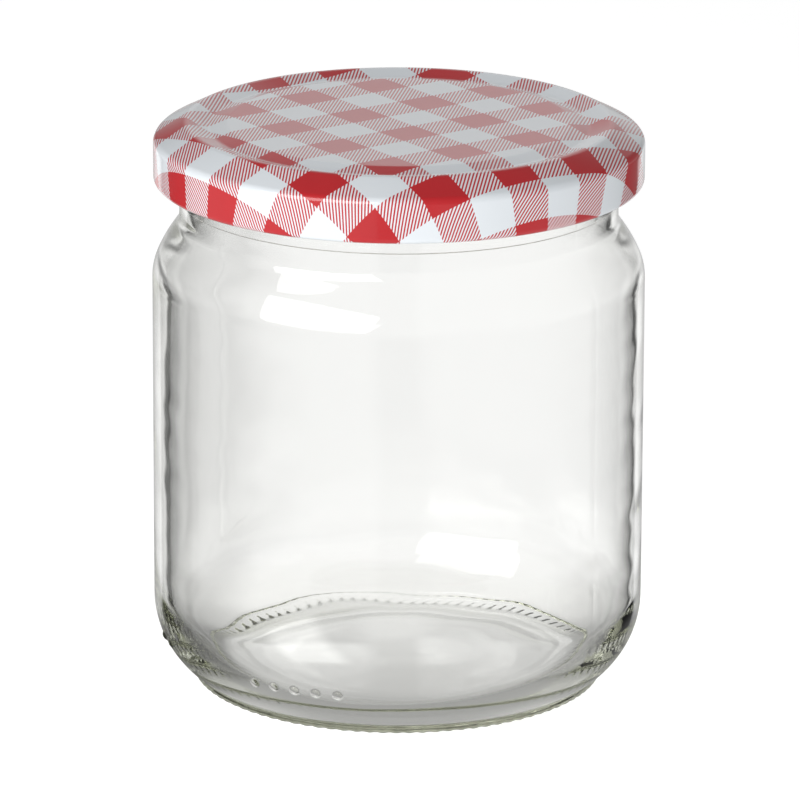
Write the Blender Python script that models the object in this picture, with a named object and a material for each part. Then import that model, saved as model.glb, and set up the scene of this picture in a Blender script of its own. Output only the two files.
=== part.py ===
"""Round canning jar of clear glass with its stamped tin lug cap, standing upright.

The jar's axis is Z and it stands on z = 0, with its base centred on the origin. Sizes below are
in millimetres and become metres where vertices are made. A point of a turned profile is a pair
(radius, height).
"""

import math

import bmesh
import bpy
from mathutils import Matrix, Vector

MM = 0.001

# Both pieces are turned about Z with this many sides. The foot's knurls have two steps each.
SIDES = 64
KNURLS = 96

# Foot, base and heel of the glass
FOOT_INNER_R = 27.8
FOOT_FLAT_R = 29.3
FOOT_RISE = [(31.0, 0.07), (32.6, 0.25), (34.1, 0.5)]
FOOT_OUTER = (35.75, 0.82)
KNURL_DEPTH = 0.3
PUSH_UP = 0.4
FOOT_EDGE = (36.15, 1.6)
HEEL_EDGE = (36.1, 2.2)
HEEL_TOP_Z = 15.5
HEEL_RADIUS = 16.2

# Body, shoulder and neck of the glass, outside
BODY_R = 43.05
SHOULDER_Z = 73.3
SHOULDER_RADII = (9.5, 24.0)
SHOULDER_MIDDLE = math.radians(24.0)
SHOULDER_TURN = math.radians(36.0)
NECK_R = 38.3
NECK_FILLET = 3.6
PARTING_Z = 87.7

# Finish: the part of the neck that the cap covers
FINISH_R = 38.7
LAND_Z = 100.3
LAND_CORNER = 1.3
LAND_INNER_R = 36.6
THREADS = 6
THREAD_R = 40.1
THREAD_LOW_Z = 93.5
THREAD_RISE = 2.2
THREAD_SPAN = math.radians(50.0)
THREAD_ROOT_HALF = 0.95
THREAD_CREST_HALF = 0.45
THREAD_STEPS = 6
THREAD_SINK = 0.35

# Inside of the glass
MOUTH_R = 35.6
INNER_R = 40.5
INNER_NECK_Z = 84.6
INNER_SHOULDER = [(36.2, 82.0), (39.4, 76.8), (40.2, 75.0)]
INNER_SHOULDER_Z = 72.8
INNER_HEEL_RADIUS = 14.0
FLOOR_Z = 2.9
FLOOR_RISE = 0.8

# Moulder's dots: small domes in a row round the heel, by their angle from the front
DOT_ANGLES = [-78.0, -71.8] + [-36.0 + 5.45 * step for step in range(5)]
DOT_Z = 9.4
DOT_R = 0.85
DOT_HEIGHT = 0.35

# Cap
SHEET = 0.4
CAP_R = 42.8
PANEL_R = 29.4
PANEL_Z = 100.9
GROOVE_R = 33.1
GROOVE_Z = 100.15
BEAD_R = 36.9
BEAD_Z = 101.1
CAP_SHOULDER = [(37.7, 100.9), (41.9, 98.8), (42.5, 98.2)]
SKIRT_TOP_Z = 97.3
CURL_RADIUS = 0.9
CURL_Z = 91.5
CURL_END_Z = 92.3
LUGS = 6
LUG_TIP_R = 39.3
LUG_LOW_Z = 90.85
LUG_HIGH_Z = 91.95
LUG_SPAN = math.radians(15.5)
LUG_STEPS = 4


def clear_scene():
    """Remove every object of the file."""
    for thing in list(bpy.data.objects):
        bpy.data.objects.remove(thing, do_unlink=True)


def make_material(name, colour, roughness, metallic, transmission=0.0):
    """A Principled material."""
    material = bpy.data.materials.new(name)
    material.use_nodes = True
    shader = material.node_tree.nodes["Principled BSDF"]
    shader.inputs["Base Color"].default_value = (*colour, 1.0)
    shader.inputs["Roughness"].default_value = roughness
    shader.inputs["Metallic"].default_value = metallic
    shader.inputs["Transmission Weight"].default_value = transmission
    material.diffuse_color = (*colour, 1.0 - 0.65 * transmission)
    return material


def arc(centre, radius, start, end, steps):
    """Points of an arc in the profile's plane, from angle start to end, both included."""
    points = []
    for step in range(steps + 1):
        angle = start + (end - start) * step / steps
        points.append((centre[0] + radius * math.cos(angle), centre[1] + radius * math.sin(angle)))
    return points


def on_circle(radius, angle, height):
    """A vertex place in metres. Angle 0 is the front, -Y, and a positive one is towards +X."""
    return Vector((radius * math.sin(angle), -radius * math.cos(angle), height)) * MM


def ring(bm, radius, height, count=SIDES, lift=0.0):
    """Vertices round the axis; a point on the axis is one vertex. Every second one is lifted."""
    if radius == 0.0:
        return [bm.verts.new(on_circle(0.0, 0.0, height))]
    vertices = []
    for index in range(count):
        raised = height + lift * (index % 2)
        vertices.append(bm.verts.new(on_circle(radius, 2.0 * math.pi * index / count, raised)))
    return vertices


def bridge(bm, first, second):
    """Close the surface between two rings. One may be a pole or have a multiple of the sides."""
    coarse, fine = (first, second) if len(first) <= len(second) else (second, first)
    total = len(fine)
    if len(coarse) == 1:
        for index in range(total):
            bm.faces.new((coarse[0], fine[index], fine[(index + 1) % total]))
        return
    share = total // len(coarse)
    if share == 1:
        for index in range(total):
            after = (index + 1) % total
            bm.faces.new((coarse[index], coarse[after], fine[after], fine[index]))
        return
    for index, here in enumerate(coarse):
        beyond = coarse[(index + 1) % len(coarse)]
        middle = index * share + (share + 1) // 2
        for step in range(index * share, (index + 1) * share):
            corner = here if step < middle else beyond
            bm.faces.new((corner, fine[step], fine[(step + 1) % total]))
        bm.faces.new((here, fine[middle % total], beyond))


def finish_object(name, bm, material=None):
    """Turn a closed mesh's faces outward and make it an object with its origin at the world's."""
    bmesh.ops.recalc_face_normals(bm, faces=bm.faces[:])
    mesh = bpy.data.meshes.new(name)
    bm.to_mesh(mesh)
    bm.free()
    thing = bpy.data.objects.new(name, mesh)
    bpy.context.scene.collection.objects.link(thing)
    if material is not None:
        mesh.materials.append(material)
    return thing


def as_cutter(thing):
    """Mark an object as one that only takes part in a Boolean."""
    thing.hide_render = True
    thing.display_type = "WIRE"
    return thing


def unite(thing, addition):
    """Join another closed solid onto an object."""
    modifier = thing.modifiers.new(addition.name, "BOOLEAN")
    modifier.operation = "UNION"
    modifier.solver = "EXACT"
    modifier.object = as_cutter(addition)


def heel_arc():
    """Centre of the heel's outer arc, and the angle at which it meets the foot."""
    centre = (BODY_R - HEEL_RADIUS, HEEL_TOP_Z)
    return centre, -math.asin((HEEL_TOP_Z - HEEL_EDGE[1]) / HEEL_RADIUS)


def outer_profile():
    """Outside of the glass above the foot, from the heel up to the inner edge of the land."""
    centre, low = heel_arc()
    points = arc(centre, HEEL_RADIUS, low, 0.0, 6)
    tight, wide = SHOULDER_RADII
    shoulder = (BODY_R - tight, SHOULDER_Z)
    points += arc(shoulder, tight, 0.0, SHOULDER_MIDDLE, 4)
    reach = wide - tight
    back, down = reach * math.cos(SHOULDER_MIDDLE), reach * math.sin(SHOULDER_MIDDLE)
    shoulder = (shoulder[0] - back, shoulder[1] - down)
    points += arc(shoulder, wide, SHOULDER_MIDDLE, SHOULDER_TURN, 2)[1:]
    # A short cone leaves the shoulder's wide arc and runs into a hollow fillet at the neck.
    slope_r, slope_z = points[-1]
    fillet_r = NECK_R + NECK_FILLET
    fillet_start_r = fillet_r - NECK_FILLET * math.cos(SHOULDER_TURN)
    fillet_start_z = slope_z + (slope_r - fillet_start_r) / math.tan(SHOULDER_TURN)
    fillet_z = fillet_start_z + NECK_FILLET * math.sin(SHOULDER_TURN)
    points += arc((fillet_r, fillet_z), NECK_FILLET, math.pi + SHOULDER_TURN, math.pi, 3)
    points += [(NECK_R, PARTING_Z), (FINISH_R, PARTING_Z + 0.4)]
    corner = (FINISH_R - LAND_CORNER, LAND_Z - LAND_CORNER)
    points += arc(corner, LAND_CORNER, 0.0, math.pi / 2.0, 3)
    points.append((LAND_INNER_R, LAND_Z))
    return points


def inner_profile():
    """Inside of the glass, from the mouth's edge down to the rim of the floor."""
    points = [(MOUTH_R, LAND_Z - 1.1), (MOUTH_R, INNER_NECK_Z), *INNER_SHOULDER, (INNER_R, INNER_SHOULDER_Z)]
    centre = (INNER_R - INNER_HEEL_RADIUS, FLOOR_Z + INNER_HEEL_RADIUS)
    points += arc(centre, INNER_HEEL_RADIUS, 0.0, -math.pi / 2.0, 5)
    return points


def build_glass(material):
    """The jar: base with a push-up, knurled foot, heel, body, shoulder and finish, and hollow."""
    bm = bmesh.new()
    rings = [
        ring(bm, 0.0, PUSH_UP),
        ring(bm, 0.7 * FOOT_INNER_R, 0.51 * PUSH_UP),
        ring(bm, FOOT_INNER_R, 0.0),
        ring(bm, FOOT_FLAT_R, 0.0),
        *[ring(bm, radius, height) for radius, height in FOOT_RISE],
        ring(bm, *FOOT_OUTER, 2 * KNURLS, KNURL_DEPTH),
        ring(bm, *FOOT_EDGE, 2 * KNURLS),
    ]
    for radius, height in outer_profile() + inner_profile():
        rings.append(ring(bm, radius, height))
    rings.append(ring(bm, 0.0, FLOOR_Z + FLOOR_RISE))
    for first, second in zip(rings, rings[1:]):
        bridge(bm, first, second)
    return finish_object("jar", bm, material)


def build_thread(index):
    """One of the short sloping ridges that a lug runs under."""
    bm = bmesh.new()
    start = 2.0 * math.pi * index / THREADS
    sections = []
    for step in range(THREAD_STEPS + 1):
        share = step / THREAD_STEPS
        height = THREAD_LOW_Z + THREAD_RISE * share
        crest = THREAD_R if 0 < step < THREAD_STEPS else FINISH_R + 0.15
        angle = start + THREAD_SPAN * share
        root = FINISH_R - THREAD_SINK
        outline = [
            (root, height - THREAD_ROOT_HALF),
            (crest, height - THREAD_CREST_HALF),
            (crest, height + THREAD_CREST_HALF),
            (root, height + THREAD_ROOT_HALF),
        ]
        sections.append([bm.verts.new(on_circle(r, angle, z)) for r, z in outline])
    for first, second in zip(sections, sections[1:]):
        bridge(bm, first, second)
    bm.faces.new(sections[0])
    bm.faces.new(sections[-1])
    return finish_object(f"thread_{index}", bm)


def build_dot(index, angle):
    """One dome on the heel: the cap of a sphere whose centre is sunk below the surface."""
    radius = (DOT_R ** 2 + DOT_HEIGHT ** 2) / (2.0 * DOT_HEIGHT)
    centre, _ = heel_arc()
    tilt = -math.asin((HEEL_TOP_Z - DOT_Z) / HEEL_RADIUS)
    reach = HEEL_RADIUS + DOT_HEIGHT - radius
    place = on_circle(centre[0] + reach * math.cos(tilt), angle, centre[1] + reach * math.sin(tilt))
    bm = bmesh.new()
    bmesh.ops.create_icosphere(bm, subdivisions=2, radius=radius * MM, matrix=Matrix.Translation(place))
    return finish_object(f"dot_{index}", bm)


def cap_path():
    """The outer face of the cap's sheet, from the panel's centre out and round the curl."""
    points = [
        (0.0, PANEL_Z),
        (PANEL_R, PANEL_Z),
        (PANEL_R + 0.9, PANEL_Z - 0.1),
        (GROOVE_R - 0.5, GROOVE_Z + 0.1),
        (GROOVE_R + 0.2, GROOVE_Z),
        (GROOVE_R + 0.8, GROOVE_Z + 0.15),
        (BEAD_R - 0.8, BEAD_Z - 0.1),
        (BEAD_R, BEAD_Z),
    ]
    points += CAP_SHOULDER
    points.append((CAP_R, SKIRT_TOP_Z))
    points += arc((CAP_R - CURL_RADIUS, CURL_Z), CURL_RADIUS, 0.0, -math.pi, 4)
    points.append((CAP_R - 2.0 * CURL_RADIUS, CURL_END_Z))
    return points


def offset_path(path, distance):
    """The path moved to its right by a distance, with mitred corners."""
    moved = []
    for index, point in enumerate(path):
        before = Vector(path[max(index - 1, 0)])
        after = Vector(path[min(index + 1, len(path) - 1)])
        here = Vector(point)
        inward = (here - before).normalized() if index else (after - here).normalized()
        outward = (after - here).normalized() if index < len(path) - 1 else inward
        tangent = (inward + outward).normalized()
        stretch = 1.0 / max(tangent.dot(inward), 0.5)
        shifted = here + Vector((tangent.y, -tangent.x)) * distance * stretch
        moved.append((max(shifted.x, 0.0), shifted.y))
    moved[0] = (0.0, path[0][1] - distance)
    return moved


def build_cap(material):
    """The cap: flat panel, shallow groove, raised bead, sloped shoulder, plain skirt and curled edge."""
    bm = bmesh.new()
    outside = cap_path()
    inside = offset_path(outside, SHEET)
    rings = [ring(bm, radius, height) for radius, height in outside + inside[::-1]]
    for first, second in zip(rings, rings[1:]):
        bridge(bm, first, second)
    return finish_object("lid", bm, material)


def build_lug(index):
    """One inward tab of the curled edge, in the gap below a thread."""
    bm = bmesh.new()
    middle = 2.0 * math.pi * index / LUGS + THREAD_SPAN / 2.0
    root = CAP_R - 2.0 * CURL_RADIUS + SHEET / 2.0
    outline = [(root, LUG_LOW_Z), (root, LUG_HIGH_Z), (LUG_TIP_R, LUG_HIGH_Z), (LUG_TIP_R, LUG_LOW_Z)]
    sections = []
    for step in range(LUG_STEPS + 1):
        angle = middle + LUG_SPAN * (step / LUG_STEPS - 0.5)
        sections.append([bm.verts.new(on_circle(r, angle, z)) for r, z in outline])
    for first, second in zip(sections, sections[1:]):
        bridge(bm, first, second)
    bm.faces.new(sections[0])
    bm.faces.new(sections[-1])
    return finish_object(f"lug_{index}", bm)


def main():
    """Build the glass and the cap."""
    clear_scene()
    glass = make_material("clear_glass", (0.93, 0.95, 0.93), 0.03, 0.0, transmission=1.0)
    lacquer = make_material("printed_tin", (0.72, 0.10, 0.11), 0.22, 0.0)

    jar = build_glass(glass)
    for index in range(THREADS):
        unite(jar, build_thread(index))
    for index, angle in enumerate(DOT_ANGLES):
        unite(jar, build_dot(index, math.radians(angle)))

    lid = build_cap(lacquer)
    for index in range(LUGS):
        unite(lid, build_lug(index))

    for thing in (jar, lid):
        thing.data.shade_smooth()
        thing.data.set_sharp_from_angle(angle=math.radians(35.0))


main()
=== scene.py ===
"""Looks of a canning jar: clear glass, a printed tin lug cap and a plain white studio.

Sizes are in millimetres and become metres where vertices are made. A profile point is a pair
(radius, height), and an angle is measured round the jar from its front, -Y, towards +X.
"""

from __future__ import annotations

import logging
import math
from dataclasses import dataclass, field
from enum import Enum

import bmesh
import bpy
import numpy as np
from mathutils import Matrix, Vector


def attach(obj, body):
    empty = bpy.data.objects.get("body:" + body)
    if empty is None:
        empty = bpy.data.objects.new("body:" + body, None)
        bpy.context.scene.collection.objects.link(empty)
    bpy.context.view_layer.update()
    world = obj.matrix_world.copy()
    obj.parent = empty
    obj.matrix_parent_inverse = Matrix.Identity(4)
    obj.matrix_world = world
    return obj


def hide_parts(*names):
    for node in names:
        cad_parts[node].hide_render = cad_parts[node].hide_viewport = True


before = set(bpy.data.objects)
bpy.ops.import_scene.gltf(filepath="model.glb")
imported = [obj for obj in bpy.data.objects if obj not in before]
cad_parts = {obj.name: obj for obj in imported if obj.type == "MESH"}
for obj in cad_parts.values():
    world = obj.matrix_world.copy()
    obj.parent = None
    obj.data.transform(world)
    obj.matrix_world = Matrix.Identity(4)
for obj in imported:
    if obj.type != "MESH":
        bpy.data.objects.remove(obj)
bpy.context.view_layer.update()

MM = 0.001
BODY = "root"
LOG = logging.getLogger("canning_jar")

Point = tuple[float, float]
Colour = tuple[float, float, float]
# A Span is where a change starts and ends. Edges are the two ends of a patch and their softness.
Span = tuple[float, float]
Edges = tuple[float, float, float]


class Value:
    """A number inside a node tree that Python's operators can work on."""

    def __init__(self, tree: Tree, socket: bpy.types.NodeSocket) -> None:
        """Wrap a socket of a tree."""
        self.tree = tree
        self.socket = socket

    def __add__(self, other: Value | float) -> Value:
        """Sum."""
        return self.tree.maths("ADD", self, other)

    def __sub__(self, other: Value | float) -> Value:
        """Difference."""
        return self.tree.maths("SUBTRACT", self, other)

    def __rsub__(self, other: float) -> Value:
        """A number less this value."""
        return self.tree.maths("SUBTRACT", other, self)

    def __mul__(self, other: Value | float) -> Value:
        """Product."""
        return self.tree.maths("MULTIPLY", self, other)

    def __truediv__(self, other: Value | float) -> Value:
        """Quotient."""
        return self.tree.maths("DIVIDE", self, other)

    __radd__ = __add__
    __rmul__ = __mul__


class Tree:
    """A node tree that is filled through one node-making method."""

    def __init__(self, nodes: bpy.types.NodeTree) -> None:
        """Start from an empty tree."""
        self.nodes = nodes
        nodes.nodes.clear()

    def add(self, kind: str, settings: dict | None = None, inputs: dict | None = None) -> bpy.types.Node:
        """Make a node.

        Args:
            kind: The node's type.
            settings: Its properties, set first. "stops" gives a ramp's (position, colour) pairs.
            inputs: Values or links of its sockets, by name or number.

        Returns:
            The new node.
        """
        node = self.nodes.nodes.new(kind)
        for name, value in (settings or {}).items():
            if name == "stops":
                self._set_stops(node, value)
            else:
                setattr(node, name, value)
        for name, value in (inputs or {}).items():
            socket = node.inputs[name]
            if isinstance(value, Value):
                self.nodes.links.new(value.socket, socket)
            elif isinstance(value, bpy.types.NodeSocket):
                self.nodes.links.new(value, socket)
            else:
                socket.default_value = value
        return node

    @staticmethod
    def _set_stops(node: bpy.types.Node, stops: list[tuple[float, Colour]]) -> None:
        """Give a colour ramp its stops.

        Args:
            node: The ramp.
            stops: Position and colour of each stop.
        """
        elements = node.color_ramp.elements
        while len(elements) < len(stops):
            elements.new(1.0)
        for element, (position, colour) in zip(elements, stops):
            element.position = position
            element.color = (*colour, 1.0)

    def value(
        self, kind: str, output: str | int, settings: dict | None = None, inputs: dict | None = None
    ) -> Value:
        """Make a node and wrap one of its outputs."""
        return Value(self, self.add(kind, settings, inputs).outputs[output])

    def maths(self, operation: str, *operands: Value | float) -> Value:
        """A Math node on one, two or three operands."""
        numbered = dict(enumerate(operands))
        return self.value("ShaderNodeMath", 0, {"operation": operation}, numbered)

    def smooth(self, value: Value, low: float, high: float) -> Value:
        """Rise from 0 at low to 1 at high, with eased ends."""
        settings = {"interpolation_type": "SMOOTHSTEP"}
        return self.value("ShaderNodeMapRange", 0, settings, {0: value, 1: low, 2: high, 3: 0.0, 4: 1.0})

    def window(self, value: Value, low: float, high: float, soft: float) -> Value:
        """1 between low and high and 0 outside, with edges of a soft half-width.

        Args:
            value: What is tested.
            low: Where the window starts.
            high: Where it ends.
            soft: Half-width of its edges.

        Returns:
            A value from 0 to 1.
        """
        rise = self.smooth(value, low - soft, low + soft)
        fall = self.smooth(value, high - soft, high + soft)
        return rise - fall

    @staticmethod
    def between(first: Value | float, second: Value | float, share: Value) -> Value:
        """The first number where the share is 0, and the second where it is 1."""
        return first + share * (second - first)

    def blend(self, factor: Value | float, first: Value | Colour, second: Value | Colour) -> Value:
        """Mix two colours.

        Args:
            factor: Share of the second colour.
            first: The colour at 0.
            second: The colour at 1.

        Returns:
            The mixed colour.
        """
        sides = [side if isinstance(side, Value) else (*side, 1.0) for side in (first, second)]
        inputs = {0: factor, 6: sides[0], 7: sides[1]}
        return self.value("ShaderNodeMix", 2, {"data_type": "RGBA"}, inputs)

    def parts(self, vector: Value) -> list[Value]:
        """The three parts of a vector."""
        node = self.add("ShaderNodeSeparateXYZ", inputs={0: vector})
        return [Value(self, node.outputs[index]) for index in range(3)]

    def noise(self, scale: float, detail: float) -> Value:
        """A noise that is fixed to the object.

        Args:
            scale: Its scale.
            detail: Its levels of detail.

        Returns:
            A value from 0 to 1.
        """
        place = self.value("ShaderNodeTexCoord", "Object")
        inputs = {"Vector": place, "Scale": scale, "Detail": detail}
        return self.value("ShaderNodeTexNoise", 0, inputs=inputs)

    def bump(self, height: Value, distance: float, strength: float = 1.0) -> Value:
        """The normal that a height gives the surface."""
        inputs = {"Height": height, "Strength": strength, "Distance": distance}
        return self.value("ShaderNodeBump", 0, inputs=inputs)

    def clouded(self, cloud: Value, colour: Colour, share: float) -> Value:
        """A colour that falls to a share of itself where the cloud is dense."""
        return self.blend(cloud, colour, tuple(share * part for part in colour))

    def principled(self, inputs: dict) -> Value:
        """A Principled shader."""
        return self.value("ShaderNodeBsdfPrincipled", 0, inputs=inputs)

    def been(self, kind: str) -> Value:
        """1 for a ray with a "Transmission", "Glossy" or "Diffuse" step behind it, 0 for another."""
        depth = self.value("ShaderNodeLightPath", f"{kind} Depth")
        return self.maths("GREATER_THAN", depth, 0.5)


def new_material(name: str) -> tuple[bpy.types.Material, Tree]:
    """An empty material and its tree.

    Args:
        name: The material's name.

    Returns:
        The material and its tree.
    """
    material = bpy.data.materials.new(name)
    material.use_nodes = True
    return material, Tree(material.node_tree)


def arc(centre: Point, radius: float, start: float, end: float, steps: int) -> list[Point]:
    """Points of an arc in the profile's plane.

    Args:
        centre: The arc's centre.
        radius: Its radius.
        start: First angle, in radians from the outward direction.
        end: Last angle.
        steps: Number of chords.

    Returns:
        steps + 1 profile points.
    """
    angles = np.linspace(start, end, steps + 1)
    return [(centre[0] + radius * math.cos(a), centre[1] + radius * math.sin(a)) for a in angles]


def straight(start: Point, end: Point, spacing: float) -> list[Point]:
    """Points along a line, about spacing apart, without the first.

    Args:
        start: The line's start.
        end: Its end.
        spacing: Wanted distance of the points.

    Returns:
        The profile points.
    """
    length = math.dist(start, end)
    count = max(1, round(length / spacing))
    shares = [(step + 1) / count for step in range(count)]
    return [tuple(a + (b - a) * share for a, b in zip(start, end)) for share in shares]


def rounded(corners: list[tuple[float, float, float]], turn: float = math.radians(6.0)) -> list[Point]:
    """A line through corners, each rounded by its own radius.

    Args:
        corners: (radius from the axis, height, rounding) of each corner; the ends aren't rounded.
        turn: Largest angle between neighbouring chords of a rounding.

    Returns:
        The profile points.
    """
    points: list[Point] = [corners[0][:2]]
    for before, here, after in zip(corners, corners[1:], corners[2:]):
        corner = Vector(here[:2])
        back = (Vector(before[:2]) - corner).normalized()
        on = (Vector(after[:2]) - corner).normalized()
        half = math.acos(max(-1.0, min(1.0, back.dot(on)))) / 2.0
        bisector = (back + on).normalized()
        centre = corner + bisector * here[2] / math.sin(half)
        reach = here[2] / math.tan(half)
        first = corner + back * reach - centre
        last = corner + on * reach - centre
        sweep = math.atan2(first.x * last.y - first.y * last.x, first.dot(last))
        steps = max(2, math.ceil(abs(sweep) / turn))
        start = math.atan2(first.y, first.x)
        points += arc(tuple(centre), here[2], start, start + sweep, steps)
    points.append(corners[-1][:2])
    return points


@dataclass
class Ring:
    """One ring of vertices: the number of its first, and its angles. A pole has no angles."""

    first: int
    angles: np.ndarray

    def __len__(self) -> int:
        """Number of vertices."""
        return max(1, len(self.angles))


@dataclass
class Turned:
    """A closed mesh built from rings round Z, whose faces point outwards when the path of the
    rings leaves the foot's centre, goes up outside and comes down inside."""

    places: list[np.ndarray] = field(default_factory=list)
    faces: list[tuple[int, ...]] = field(default_factory=list)
    bands: list[int] = field(default_factory=list)
    count: int = 0

    def ring(self, radii: np.ndarray | float, heights: np.ndarray | float, angles: np.ndarray) -> Ring:
        """Add a ring.

        Args:
            radii: Radius of each vertex, or one for all.
            heights: Height of each vertex, or one for all.
            angles: Their angles, rising, or an empty array for a pole.

        Returns:
            The ring.
        """
        made = Ring(self.count, angles)
        if len(angles) == 0:
            self.places.append(np.array([[0.0, 0.0, float(heights)]]))
        else:
            level = heights + 0.0 * angles
            self.places.append(np.stack([radii * np.sin(angles), -radii * np.cos(angles), level], 1))
        self.count += len(made)
        return made

    def bridge(self, lower: Ring, upper: Ring, band: int = 0) -> None:
        """Close the surface between two rings of any counts, and note which band it belongs to.

        Args:
            lower: The ring that comes first on the path.
            upper: The next ring.
            band: A number to keep for the new faces.
        """
        before = len(self.faces)
        if len(lower) == 1 or len(upper) == 1:
            self._fan(lower, upper)
        elif len(lower) == len(upper):
            total = len(lower)
            for index in range(total):
                after = (index + 1) % total
                self.faces.append(
                    (lower.first + index, lower.first + after, upper.first + after, upper.first + index)
                )
        else:
            self._zip(lower, upper)
        self.bands += [band] * (len(self.faces) - before)

    def _fan(self, lower: Ring, upper: Ring) -> None:
        """Faces between a pole and a ring.

        Args:
            lower: The first ring or pole.
            upper: The next one.
        """
        rim, pole, rising = (upper, lower.first, False) if len(lower) == 1 else (lower, upper.first, True)
        for index in range(len(rim)):
            here, after = rim.first + index, rim.first + (index + 1) % len(rim)
            self.faces.append((here, after, pole) if rising else (pole, after, here))

    def _zip(self, lower: Ring, upper: Ring) -> None:
        """Triangles between rings whose angles differ, always stepping along the ring behind.

        Args:
            lower: The first ring.
            upper: The next ring.
        """
        full = 2.0 * math.pi
        below = np.append(lower.angles, lower.angles[0] + full)
        above = np.append(upper.angles, upper.angles[0] + full)
        low, high = 0, 0
        while low < len(lower) or high < len(upper):
            here_low, here_high = lower.first + low % len(lower), upper.first + high % len(upper)
            step_low = high >= len(upper) or (low < len(lower) and below[low + 1] <= above[high + 1])
            if step_low:
                low += 1
                self.faces.append((here_low, lower.first + low % len(lower), here_high))
            else:
                high += 1
                self.faces.append((here_low, upper.first + high % len(upper), here_high))

    def mesh(self, name: str) -> bpy.types.Mesh:
        """The finished mesh, in metres and shaded smooth.

        Args:
            name: The mesh's name.

        Returns:
            The mesh.
        """
        mesh = bpy.data.meshes.new(name)
        mesh.from_pydata((np.concatenate(self.places) * MM).tolist(), [], self.faces)
        mesh.shade_smooth()
        return mesh


def link(name: str, data: bpy.types.ID) -> bpy.types.Object:
    """An object at the origin with a mesh, a lamp or a camera.

    Args:
        name: The object's name.
        data: What it shows.

    Returns:
        The new object.
    """
    thing = bpy.data.objects.new(name, data)
    bpy.context.scene.collection.objects.link(thing)
    return thing


def settle(thing: bpy.types.Object) -> None:
    """Turn what an object's modifiers make into its own plain mesh, and remove them.

    Args:
        thing: The object.
    """
    graph = bpy.context.evaluated_depsgraph_get()
    made = bpy.data.meshes.new_from_object(thing.evaluated_get(graph), depsgraph=graph)
    thing.modifiers.clear()
    thing.data = made


class NodeGroup:
    """A geometry node tree with named inputs, run on one object."""

    def __init__(self, name: str) -> None:
        """Make the empty tree with its geometry sockets and its material socket.

        Args:
            name: The group's name.
        """
        self.group = bpy.data.node_groups.new(name, "GeometryNodeTree")
        self.tree = Tree(self.group)
        self.group.interface.new_socket("Geometry", in_out="OUTPUT", socket_type="NodeSocketGeometry")
        self.identifiers: dict[str, str] = {}
        self._socket("Geometry", "NodeSocketGeometry")
        self._socket("Material", "NodeSocketMaterial")
        self.start: bpy.types.Node | None = None

    def _socket(self, name: str, kind: str) -> None:
        """Add a named input."""
        made = self.group.interface.new_socket(name, in_out="INPUT", socket_type=kind)
        self.identifiers[name] = made.identifier

    def inputs(self, **kinds: str) -> None:
        """Args:
            kinds: The kind of each input, by its name.
        """
        for name, kind in kinds.items():
            self._socket(name, f"NodeSocket{kind}")
        self.start = self.tree.add("NodeGroupInput")

    def given(self, name: str) -> Value:
        """One of the tree's inputs."""
        return Value(self.tree, self.start.outputs[name])

    def close(self, geometry: Value) -> None:
        """End the tree in Realize Instances and Set Material.

        Args:
            geometry: What the tree has made.
        """
        real = self.tree.value("GeometryNodeRealizeInstances", 0, inputs={0: geometry})
        inputs = {"Geometry": real, "Material": self.given("Material")}
        dressed = self.tree.value("GeometryNodeSetMaterial", 0, inputs=inputs)
        self.tree.add("NodeGroupOutput", inputs={0: dressed})

    def run(self, thing: bpy.types.Object, material: bpy.types.Material, **values: float) -> None:
        """Run the tree on an object and keep the result as its mesh.

        Args:
            thing: The object.
            material: What its faces get.
            values: The value of each input, by its name.
        """
        modifier = thing.modifiers.new(self.group.name, "NODES")
        modifier.node_group = self.group
        modifier[self.identifiers["Material"]] = material
        for name, value in values.items():
            modifier[self.identifiers[name]] = value
        settle(thing)


@dataclass(frozen=True)
class ClearGlass:
    """Clear soda-lime glass with a faint olive cast in its thick parts."""

    index: float = 1.52
    tint: Colour = (1.0, 1.0, 1.0)
    body_colour: Colour = (0.80, 0.81, 0.74)
    body_density: float = 48.0
    shadow_colour: Colour = (0.93, 0.94, 0.92)
    ripple_size: float = 90.0
    ripple_depth: float = 0.00004

    def material(self) -> bpy.types.Material:
        """Build the glass: it lets lamps through, so that what is inside and under it is lit.

        Returns:
            The material.
        """
        material, tree = new_material("clear_glass")
        glass = tree.principled({
            "Base Color": (*self.tint, 1.0),
            "Roughness": 0.0,
            "IOR": self.index,
            "Transmission Weight": 1.0,
            "Normal": tree.bump(tree.noise(self.ripple_size, 1.0), self.ripple_depth),
        })
        clear = tree.value("ShaderNodeBsdfTransparent", 0, inputs={0: (*self.shadow_colour, 1.0)})
        shadow = tree.value("ShaderNodeLightPath", "Is Shadow Ray")
        surface = tree.value("ShaderNodeMixShader", 0, inputs={0: shadow, 1: glass, 2: clear})
        inside_inputs = {"Color": (*self.body_colour, 1.0), "Density": self.body_density}
        inside = tree.value("ShaderNodeVolumeAbsorption", 0, inputs=inside_inputs)
        tree.add("ShaderNodeOutputMaterial", inputs={"Surface": surface, "Volume": inside})
        return material


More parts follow.
